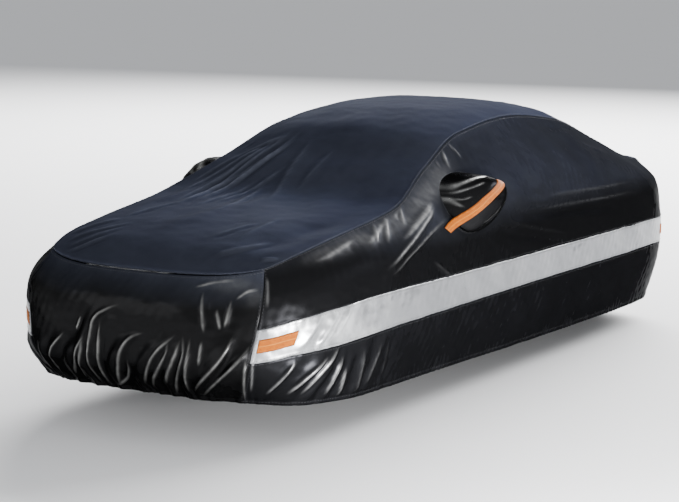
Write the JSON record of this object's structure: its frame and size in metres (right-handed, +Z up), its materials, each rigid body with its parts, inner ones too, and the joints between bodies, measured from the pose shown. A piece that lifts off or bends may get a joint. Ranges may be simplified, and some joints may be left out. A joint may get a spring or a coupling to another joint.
{
  "type": "car cover",
  "caption": "Fitted outdoor cover for a saloon car, draped over its body, with a silver band, mirror pockets and a gathered hem.",
  "frame": {"origin": "middle of the bounding box at the height of the lowest hem", "axes": "+Y from the nose to the tail of the covered car, +Z up, +X to the left of the car"},
  "size_m": [1.949, 4.7836, 1.311],
  "materials": {
    "top_cloth": "navy black coated cloth with a soft sheen",
    "wall_cloth": "black coated cloth with a sheen",
    "silver_band": "silver grey coated cloth",
    "pocket_cloth": "black glossy coated cloth",
    "orange_tape": "orange woven tape with a pale line"
  },
  "bodies": {
    "root": {"top_panel": "top_cloth", "front_panel": "wall_cloth", "rear_panel": "wall_cloth", "side_upper_left": "wall_cloth", "side_upper_right": "wall_cloth", "side_band_left": "silver_band", "side_band_right": "silver_band", "side_lower_left": "wall_cloth", "side_lower_right": "wall_cloth", "mirror_pocket_left": "pocket_cloth", "mirror_pocket_right": "pocket_cloth", "pocket_strip_left": "orange_tape", "pocket_strip_right": "orange_tape", "band_tag_front_left": "orange_tape", "band_tag_front_right": "orange_tape", "band_tag_rear_left": "orange_tape", "band_tag_rear_right": "orange_tape"}
  },
  "joints": []
}
